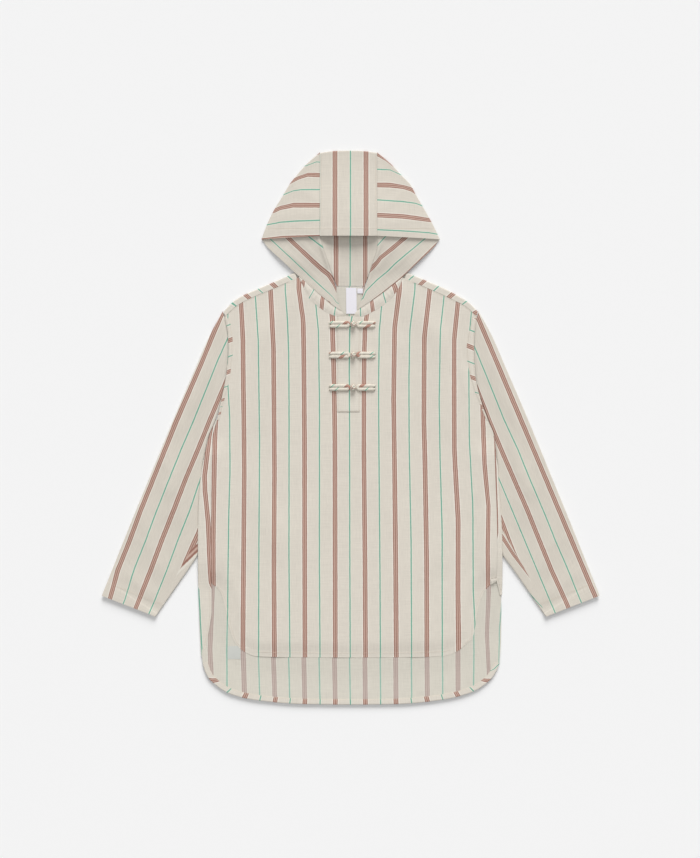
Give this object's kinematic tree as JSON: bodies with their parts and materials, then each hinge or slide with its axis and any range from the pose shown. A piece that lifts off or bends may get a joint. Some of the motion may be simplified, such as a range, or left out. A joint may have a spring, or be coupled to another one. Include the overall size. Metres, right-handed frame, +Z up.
{
  "type": "hooded shirt",
  "caption": "Hooded pullover shirt in striped cotton, laid flat: long sleeves, toggle placket, side slits and a longer rounded tail",
  "frame": {"origin": "on the surface the shirt lies on, under the middle of its outline", "axes": "X runs across the shirt towards its left arm as worn, Y runs from the tail up to the hood's crown, Z is up out of the surface"},
  "size_m": [0.9948, 1.108, 0.0172],
  "materials": {
    "cloth": "matt slubby cotton plain weave, beige with brown and green warp stripes",
    "cloth_inside": "the same cotton seen from its paler wrong side, full colour on its outer face",
    "band": "narrow strips of the striped cotton cut across, so that the stripes cross them",
    "bias_cord": "rouleau cord of the striped cotton cut on the bias, cream with slanting flecks",
    "label": "smooth white woven tape, bare"
  },
  "bodies": {
    "root": {"back_panel": "cloth_inside", "front_panel": "cloth", "sleeve_left": "cloth", "sleeve_right": "cloth", "hood_side_left": "cloth", "hood_side_right": "cloth", "hood_centre": "cloth", "neckband_left": "band", "neckband_right": "band", "armhole_strip_left": "band", "armhole_strip_right": "band", "placket": "cloth", "toggle_upper_loop": "bias_cord", "toggle_upper_tail": "bias_cord", "toggle_upper_knot": "bias_cord", "toggle_middle_loop": "bias_cord", "toggle_middle_tail": "bias_cord", "toggle_middle_knot": "bias_cord", "toggle_lower_loop": "bias_cord", "toggle_lower_tail": "bias_cord", "toggle_lower_knot": "bias_cord", "main_label": "label", "size_tag": "label"}
  },
  "joints": []
}
